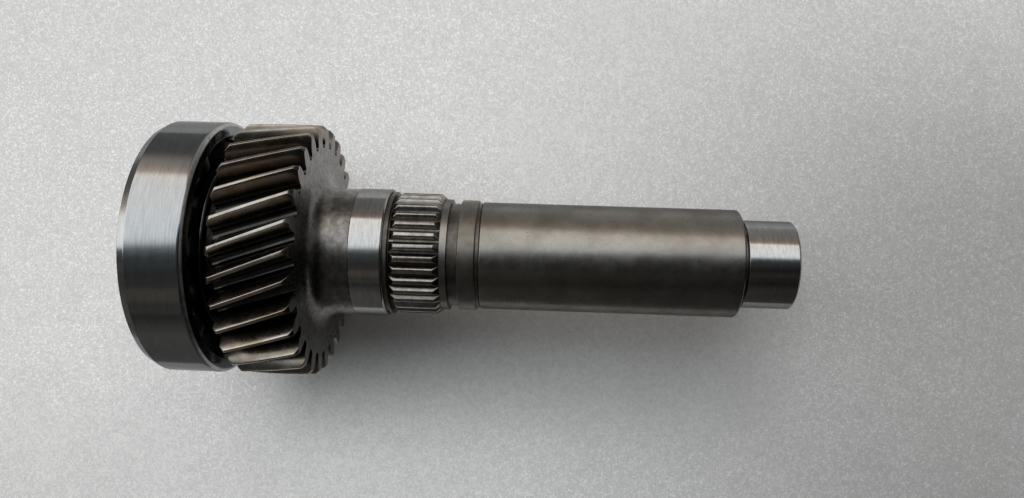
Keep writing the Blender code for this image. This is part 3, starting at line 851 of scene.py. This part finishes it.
def spline_side(tip_radius):
    """Half a spline tooth, from the middle of its gap to its tip."""
    root = Vector((SPLINE_ROOT_RADIUS, SPLINE_ROOT_HALF / SPLINE_ROOT_RADIUS))
    full = Vector((SPLINE_TIP_RADIUS, SPLINE_TIP_HALF / SPLINE_TIP_RADIUS))
    share = (tip_radius - SPLINE_ROOT_RADIUS) / (SPLINE_TIP_RADIUS - SPLINE_ROOT_RADIUS)
    corner = root.lerp(full, share)
    edge = min(SPLINE_EDGE, (tip_radius - SPLINE_ROOT_RADIUS) * 0.4)
    start = corner.lerp(root, edge / (tip_radius - SPLINE_ROOT_RADIUS))
    end = corner - Vector((0.0, edge / tip_radius))
    side = [(SPLINE_ROOT_RADIUS, math.pi / SPLINE_TEETH), tuple(root), tuple(root.lerp(start, 0.5))]
    return side + rounded(start, corner, end, (0.0, 0.2, 0.4, 0.6, 0.8, 1.0))


def spline_stations():
    low = SPLINE_ROOT_RADIUS + SPLINE_END_HEIGHT
    slope = (SPLINE_TIP_RADIUS - low) / SPLINE_LEAD_IN
    edge = SPLINE_LEAD_IN * 0.12
    rise = [
        (0.0, low),
        (SPLINE_LEAD_IN - edge, SPLINE_TIP_RADIUS - edge * slope),
        (SPLINE_LEAD_IN, SPLINE_TIP_RADIUS - edge * slope / 4),
        (SPLINE_LEAD_IN + edge, SPLINE_TIP_RADIUS),
    ]
    return stations(Z_SPLINE, Z_SPLINE_END, rise, 1)


spline_band = grown(
    "spline_teeth",
    tooth_mesh("spline_tooth", spline_stations(), spline_side),
    wound_teeth,
    Teeth=SPLINE_TEETH,
    First=SPLINE_PHASE,
    Turn_per_metre=0.0,
    Start_height=Z_SPLINE,
    Material=spline_steel,
)
print("spline band:", len(spline_band.vertices), "points")

# %% [markdown]
# ## The shaft
#
# Seat, abutment, neck, collar, grooves, land, barrel and pilot are turned, and the two toothed bands
# come between them. The real shaft is one piece, so the mesh is too: the flat faces that join a
# toothed outline to a round one are filled in as triangles between the two loops. Each length has
# the finish of its own machining.

# %% Sizes of the shaft
SEAT_RADIUS = 0.0247
SEAT_CHAMFER = 0.0010
ABUTMENT_RADIUS = 0.02825
ABUTMENT_CHAMFER = 0.0005
Z_ABUTMENT = 0.0213
NECK_RADIUS = 0.0225
NECK_FILLET = 0.0070
COLLAR_RADIUS = 0.02275
COLLAR_STEP = 0.00025
COLLAR_CHAMFER = 0.0005
COLLAR_GROOVE_RADIUS = 0.0214
Z_COLLAR = 0.0674
Z_COLLAR_END = 0.0788
GUARD_RING_RADIUS = 0.0219
Z_GUARD_RING = 0.0796
Z_UNDERCUT = 0.0804
RELIEF_RADIUS = 0.0198
RING_GROOVE_RADIUS = 0.0183
Z_RING_GROOVE = 0.1002
LAND_RADIUS = 0.01965
LAND_CHAMFER = 0.0003
LAND_RELIEF_RADIUS = 0.0187
Z_LAND = 0.1038
Z_LAND_END = 0.1099
BARREL_RADIUS = 0.0191
BARREL_CHAMFER = 0.0005
Z_BARREL = 0.1110
Z_BARREL_END = 0.2009
PILOT_RELIEF_RADIUS = 0.0151
PILOT_RADIUS = 0.01555
PILOT_CHAMFER = 0.0006
Z_PILOT = 0.2022
Z_TOP = 0.2200
CENTRE_HOLE_RADIUS = 0.0030
CENTRE_HOLE_HALF_ANGLE = math.radians(30.0)
NECK_STEPS = 14
WELD_DISTANCE = 1e-6

GROUND, BARREL, TURNED, GEAR, SPLINE, GROOVE, LAND = range(7)
SHAFT_FINISHES = [ground_steel, barrel_steel, turned_steel, gear_steel, spline_steel]
SHAFT_FINISHES += [groove_steel, land_steel]


# %% Helpers for the shaft
def turned(bm, finish, *profile):
    return lathe(bm, softened(profile), finish)


def chamfered(radius, low_z, high_z, chamfer):
    """A cylinder's profile, with a chamfer at both ends."""
    return [
        (radius - chamfer, low_z),
        (radius, low_z + chamfer),
        (radius, high_z - chamfer),
        (radius - chamfer, high_z),
    ]


def add_band(bm, mesh, finish):
    """Adds a toothed band to the shaft's mesh."""
    already = len(bm.faces)
    bm.from_mesh(mesh)
    bm.faces.ensure_lookup_table()
    for face in bm.faces[already:]:
        face.material_index = finish


def close_at(bm, z, finish):
    """Fills the flat face between the two open loops at one height."""
    edges = []
    for edge in bm.edges:
        if edge.is_boundary and all(abs(corner.co.z - z) < WELD_DISTANCE for corner in edge.verts):
            edges.append(edge)
    filled = bmesh.ops.triangle_fill(bm, use_beauty=True, edges=edges)
    for face in filled["geom"]:
        if isinstance(face, bmesh.types.BMFace):
            face.material_index = finish


def centre_hole(bm, rim, z, into, finish):
    """The end face round a conical centre hole, which the grinding centres ran in."""
    depth = CENTRE_HOLE_RADIUS / math.tan(CENTRE_HOLE_HALF_ANGLE)
    mouth = []
    for corner in rim:
        outwards = Vector((corner.co.x, corner.co.y, 0)).normalized()
        mouth.append(bm.verts.new(outwards * CENTRE_HOLE_RADIUS + Vector((0, 0, z))))
    point = bm.verts.new((0, 0, z + into * depth))
    for i, corner in enumerate(rim):
        j = (i + 1) % len(rim)
        bm.faces.new((corner, rim[j], mouth[j], mouth[i])).material_index = finish
        bm.faces.new((mouth[i], mouth[j], point)).material_index = finish


# %% Make the shaft
def neck_fillet_points():
    middle = (NECK_RADIUS + NECK_FILLET, Z_WEB + NECK_FILLET)
    return arc(*middle, NECK_FILLET, -math.pi / 2, -math.pi, NECK_STEPS)


def seat_to_collar(bm):
    rim, _ = turned(
        bm,
        TURNED,
        (SEAT_RADIUS - SEAT_CHAMFER, 0.0),
        (SEAT_RADIUS, SEAT_CHAMFER),
        (SEAT_RADIUS, Z_ABUTMENT),
        (ABUTMENT_RADIUS - ABUTMENT_CHAMFER, Z_ABUTMENT),
        (ABUTMENT_RADIUS, Z_ABUTMENT + ABUTMENT_CHAMFER),
        (ABUTMENT_RADIUS, Z_GEAR),
    )
    centre_hole(bm, rim, 0.0, 1, TURNED)
    add_band(bm, gear_band, GEAR)
    close_at(bm, Z_GEAR, TURNED)
    turned(bm, TURNED, *neck_fillet_points(), (NECK_RADIUS, Z_COLLAR))
    turned(
        bm,
        GROUND,
        (NECK_RADIUS, Z_COLLAR),
        (COLLAR_RADIUS, Z_COLLAR + COLLAR_STEP),
        (COLLAR_RADIUS, Z_COLLAR_END - COLLAR_CHAMFER),
        (COLLAR_RADIUS - COLLAR_CHAMFER, Z_COLLAR_END),
        (COLLAR_GROOVE_RADIUS, Z_COLLAR_END),
    )


def grooves_and_spline(bm):
    turned(
        bm,
        GROOVE,
        (COLLAR_GROOVE_RADIUS, Z_COLLAR_END),
        (COLLAR_GROOVE_RADIUS, Z_GUARD_RING),
        (GUARD_RING_RADIUS, Z_GUARD_RING),
        (GUARD_RING_RADIUS, Z_UNDERCUT),
        (RELIEF_RADIUS, Z_UNDERCUT),
        (RELIEF_RADIUS, Z_SPLINE),
    )
    bmesh.ops.remove_doubles(bm, verts=bm.verts, dist=WELD_DISTANCE)
    close_at(bm, Z_WEB, TURNED)
    add_band(bm, spline_band, SPLINE)
    close_at(bm, Z_SPLINE, GROOVE)
    turned(
        bm,
        BARREL,
        (RELIEF_RADIUS, Z_SPLINE_END),
        (RELIEF_RADIUS, Z_RING_GROOVE),
        (RING_GROOVE_RADIUS, Z_RING_GROOVE),
    )
    turned(
        bm,
        GROOVE,
        (RING_GROOVE_RADIUS, Z_RING_GROOVE),
        (RING_GROOVE_RADIUS, Z_LAND),
        (LAND_RADIUS - LAND_CHAMFER, Z_LAND),
    )


def land_to_pilot(bm):
    land = chamfered(LAND_RADIUS, Z_LAND, Z_LAND_END, LAND_CHAMFER)
    turned(bm, LAND, *land, (LAND_RELIEF_RADIUS, Z_LAND_END))
    turned(bm, GROOVE, (LAND_RELIEF_RADIUS, Z_LAND_END), (LAND_RELIEF_RADIUS, Z_BARREL))
    barrel = chamfered(BARREL_RADIUS, Z_BARREL, Z_BARREL_END, BARREL_CHAMFER)
    shoulder = (PILOT_RELIEF_RADIUS, Z_BARREL_END)
    turned(bm, BARREL, (LAND_RELIEF_RADIUS, Z_BARREL), *barrel, shoulder)
    turned(bm, GROOVE, shoulder, (PILOT_RELIEF_RADIUS, Z_PILOT))
    pilot = chamfered(PILOT_RADIUS, Z_PILOT, Z_TOP, PILOT_CHAMFER)
    _, rim = turned(bm, GROUND, (PILOT_RELIEF_RADIUS, Z_PILOT), *pilot)
    centre_hole(bm, rim, Z_TOP, -1, TURNED)


def make_shaft():
    bm = bmesh.new()
    seat_to_collar(bm)
    grooves_and_spline(bm)
    land_to_pilot(bm)
    bmesh.ops.remove_doubles(bm, verts=bm.verts, dist=WELD_DISTANCE)
    close_at(bm, Z_SPLINE_END, GROOVE)
    print("open edges of the shaft:", sum(not edge.is_manifold for edge in bm.edges))
    make_piece("idler_shaft", bm, SHAFT_FINISHES, "shaft_assembly", "shaft_steel", "shaft")


make_shaft()

# %% [markdown]
# ## The bearing's rings
#
# Both rings of a deep-groove ball bearing are turned, hardened and ground. The outer ring is what
# the photo shows as a bright band: cut back with a long chamfer on its outer side, and rounded with a
# satin edge beside the gear. Each ring has a raceway, a groove slightly wider than the balls, between
# two shoulders. The raceways, and all of the inner ring but the rounded edge of its shoulder, are
# coloured near black as painted shade, for the dark gap between the rings.

# %% Rings
BEARING_OUTER_RADIUS = 0.045
BEARING_BORE_RADIUS = 0.025
BEARING_WIDTH = 0.021
BALL_CIRCLE_RADIUS = 0.035
Z_BALLS = BEARING_WIDTH / 2
BALL_RADIUS = 0.00635
RACEWAY_RADIUS = 0.00665
OUTER_SHOULDER = 0.03875
INNER_SHOULDER = 0.03125
SHOULDER_BEVEL = 0.0016
LOWER_CORNER_RADIAL = 0.0014
LOWER_CORNER_AXIAL = 0.0028
UPPER_CORNER_RADIAL = 0.0015
UPPER_CORNER_AXIAL = 0.0016
CORNER_STEPS = 8
UPPER_CORNER_TURNS = (5, 82)  # degrees, how much of a quarter turn the rounded corner has
SATIN_SHARE = 0.5  # of the rounded corner's height; the rest is ground like the side
BORE_CORNER = 0.0011
RACEWAY_STEPS = 24


def raceway(side):
    """A raceway's arc: side is 1 for the outer ring's groove and -1 for the inner one's."""
    reach = OUTER_SHOULDER - BALL_CIRCLE_RADIUS
    half = math.acos(reach / RACEWAY_RADIUS)
    points = arc(BALL_CIRCLE_RADIUS, Z_BALLS, RACEWAY_RADIUS, half, -half, RACEWAY_STEPS)
    return [(BALL_CIRCLE_RADIUS + side * (radius - BALL_CIRCLE_RADIUS), z) for radius, z in points]


def rounded_corner():
    """The outer ring's corner beside the gear, from its side to its face."""
    points = []
    first, last = UPPER_CORNER_TURNS
    for step in range(CORNER_STEPS + 1):
        angle = math.radians(first + (last - first) * step / CORNER_STEPS)
        back = UPPER_CORNER_RADIAL * (1 - math.cos(angle))
        rise = UPPER_CORNER_AXIAL * math.sin(angle)
        points.append((BEARING_OUTER_RADIUS - back, BEARING_WIDTH - UPPER_CORNER_AXIAL + rise))
    return points


def make_outer_ring():
    outer, width = BEARING_OUTER_RADIUS, BEARING_WIDTH
    side = [(outer, LOWER_CORNER_AXIAL), (outer, width - UPPER_CORNER_AXIAL)]
    bevel = OUTER_SHOULDER + SHOULDER_BEVEL
    flat = [(outer - UPPER_CORNER_RADIAL, width), (bevel, width)]
    inside = [(OUTER_SHOULDER, width - SHOULDER_BEVEL)] + raceway(1)
    inside += [(OUTER_SHOULDER, SHOULDER_BEVEL), (bevel, 0.0)]
    profile = [(outer - LOWER_CORNER_RADIAL, 0.0)] + side + rounded_corner() + flat + inside
    bm = bmesh.new()
    lathe(bm, softened(profile, closed=True), closed=True)
    satin_z = width - SATIN_SHARE * UPPER_CORNER_AXIAL
    for face in bm.faces:
        middle = face.calc_center_median()
        outside_flat = middle.xy.length > outer - UPPER_CORNER_RADIAL + EDGE
        if outside_flat and middle.z > satin_z:
            face.material_index = 1
        # Painted shade: the raceway and the shoulders inside the ring take the dark raceway finish.
        if middle.xy.length < OUTER_SHOULDER + EDGE:
            face.material_index = 2
    finishes = [ring_steel, corner_steel, raceway_shade_steel]
    make_piece("outer_race", bm, finishes, "outer_ring", "ring_steel", "bearing_outer_ring")


def make_inner_ring():
    bore, width = BEARING_BORE_RADIUS, BEARING_WIDTH
    profile = [(bore + BORE_CORNER, 0.0), (bore, BORE_CORNER), (bore, width - BORE_CORNER)]
    profile += [(bore + BORE_CORNER, width), (INNER_SHOULDER, width)]
    profile += raceway(-1) + [(INNER_SHOULDER, 0.0)]
    bm = bmesh.new()
    lathe(bm, softened(profile, closed=True), closed=True)
    # Painted shade: the inner ring takes the dark raceway finish, except the rounded edge of its
    # shoulder.
    for face in bm.faces:
        middle = face.calc_center_median()
        if middle.z > width - EDGE * HOLD and middle.xy.length > INNER_SHOULDER - 2 * EDGE:
            face.material_index = 1
    finishes = [raceway_shade_steel, ring_steel]
    make_piece("inner_race", bm, finishes, "shaft_assembly", "ring_steel", "bearing_inner_ring")


make_outer_ring()
make_inner_ring()

# %% [markdown]
# ## Balls
#
# Ten balls roll between the rings, each a body of its own, so each needs its own mesh. The tree
# carries a sphere to its place on the ball circle, and runs ten times with another angle. A sphere
# primitive is right here: a bearing ball is the truest sphere that there is.

# %% Balls
BALL_COUNT = 10
BALL_SEGMENTS = 40
BALL_RINGS = 20


def ball_mesh():
    bm = bmesh.new()
    bmesh.ops.create_uvsphere(bm, u_segments=BALL_SEGMENTS, v_segments=BALL_RINGS, radius=BALL_RADIUS)
    return mesh_of("ball", bm)


def make_balls():
    for index in range(BALL_COUNT):
        number = f"{index + 1:02d}"
        bm = bmesh.new()
        bm.from_mesh(grown(
            f"ball_{number}_source",
            ball_mesh(),
            ring_of_copies,
            Count=1,
            First=math.tau * index / BALL_COUNT,
            Radius=BALL_CIRCLE_RADIUS,
            Height=Z_BALLS,
            Material=ball_steel,
        ))
        name, body = f"bearing_ball_{number}", f"ball_{number}_body"
        make_piece(name, bm, [ball_steel], body, "ball_steel", f"ball_{number}")


make_balls()

# %% [markdown]
# ## Cage and rivets
#
# The cage keeps the balls apart. It is pressed from two strips of thin sheet that are waved round
# the balls and riveted together on the flats between them. Each half is a ribbon with four corners
# to its section, which follows the ball's circle and then the flat. The rivet holes are cut with a
# Boolean, and the ten rivets are one turned rivet repeated by the tree.

# %% Cage
CAGE_SHEET = 0.0009  # its thickness
CAGE_HALF_BAND = 0.0030
HALF_GAP = 0.00015
POCKET_STEPS = 14
RIVET_HEAD_RADIUS = 0.001404
RIVET_SHANK_RADIUS = 0.000842
RIVET_HEAD_HEIGHT = 0.0006
RIVET_GAP = 0.0003
RIVET_SEGMENTS = 24
RIVET_HEAD_SHARES = (0.30, 0.60, 0.85, 1.0)  # heights of the head's rows
RIVET_HEAD_ROUNDING = 0.55
CUTTER_REACH = 0.005


def cage_stations():
    """Angles from a ball's middle, with the heights of the sheet's two sides."""
    pocket_reach = RACEWAY_RADIUS + CAGE_SHEET
    flat = (HALF_GAP, HALF_GAP + CAGE_SHEET)
    places = [(-math.asin(pocket_reach / BALL_CIRCLE_RADIUS), *flat)]
    for step in range(-POCKET_STEPS, POCKET_STEPS + 1):
        reach = RACEWAY_RADIUS * math.sin(math.pi / 2 * step / POCKET_STEPS)
        inner = math.sqrt(max(0.0, RACEWAY_RADIUS**2 - reach**2))
        outer = math.sqrt(pocket_reach**2 - reach**2)
        turn = math.asin(reach / BALL_CIRCLE_RADIUS)
        places.append((turn, max(flat[0], inner), max(flat[1], outer)))
    places.append((math.asin(pocket_reach / BALL_CIRCLE_RADIUS), *flat))
    places.append((math.pi / BALL_COUNT, *flat))
    return places


def ribbon(side):
    """One half of the cage before its holes are cut: side is 1 for the upper and -1 for the lower."""
    bm = bmesh.new()
    radii = (BALL_CIRCLE_RADIUS - CAGE_HALF_BAND, BALL_CIRCLE_RADIUS + CAGE_HALF_BAND)
    sections = []
    for index in range(BALL_COUNT):
        for angle, inner, outer in cage_stations():
            turn = math.tau * index / BALL_COUNT + angle
            corners = [(radii[0], inner), (radii[1], inner), (radii[1], outer), (radii[0], outer)]
            section = []
            for radius, height in corners:
                place = (radius * math.cos(turn), radius * math.sin(turn), Z_BALLS + side * height)
                section.append(bm.verts.new(place))
            sections.append(section)
    for i, section in enumerate(sections):
        following = sections[(i + 1) % len(sections)]
        for k in range(4):
            m = (k + 1) % 4
            bm.faces.new((section[k], section[m], following[m], following[k]))
    bmesh.ops.recalc_face_normals(bm, faces=bm.faces)
    return bm


def turned_pin(profile):
    """A small closed pin, turned from (radius, height) points that start and end on a flat."""
    bm = bmesh.new()
    first, last = lathe(bm, profile, around=RIVET_SEGMENTS)
    bm.faces.new(list(reversed(first)))
    bm.faces.new(last)
    return mesh_of("turned_pin", bm)


def ring_of_pins(name, profile):
    return grown(
        name,
        turned_pin(profile),
        ring_of_copies,
        Count=BALL_COUNT,
        First=math.pi / BALL_COUNT,
        Radius=BALL_CIRCLE_RADIUS,
        Height=Z_BALLS,
        Material=rivet_steel,
    )


# %% Make the cage
def make_cage():
    hole = RIVET_SHANK_RADIUS + RIVET_GAP
    pins = ring_of_pins("hole_cutter", [(hole, -CUTTER_REACH), (hole, CUTTER_REACH)])
    cutter = placed("hole_cutter", pins)
    for name, side in (("lower", -1), ("upper", 1)):
        source = placed("cage_source", mesh_of("cage_source", ribbon(side)))
        cut = source.modifiers.new("rivet_holes", "BOOLEAN")
        cut.operation = "DIFFERENCE"
        cut.solver = "EXACT"
        cut.object = cutter
        bm = bmesh.new()
        bm.from_mesh(applied(source))
        for face in bm.faces:
            face.material_index = 0  # the holes' walls come with the cutter's
        node = f"cage_{name}_half"
        make_piece(f"ball_cage_{name}", bm, [cage_steel], "cage", "cage_steel", node)
    bpy.data.objects.remove(cutter, do_unlink=True)


def make_rivets():
    under = HALF_GAP + CAGE_SHEET + RIVET_GAP
    half = [(RIVET_SHANK_RADIUS, under), (RIVET_HEAD_RADIUS, under)]
    for share in RIVET_HEAD_SHARES:
        radius = RIVET_HEAD_RADIUS * math.sqrt(1 - RIVET_HEAD_ROUNDING * share**2)
        half.append((radius, under + RIVET_HEAD_HEIGHT * share))
    profile = [(radius, -z) for radius, z in reversed(half)] + half
    bm = bmesh.new()
    bm.from_mesh(ring_of_pins("rivet_source", profile))
    rivets = [f"cage_rivet_{index + 1:02d}" for index in range(BALL_COUNT)]
    make_piece("ball_cage_rivets", bm, [rivet_steel], "cage", "rivet_steel", *rivets)


make_cage()
make_rivets()
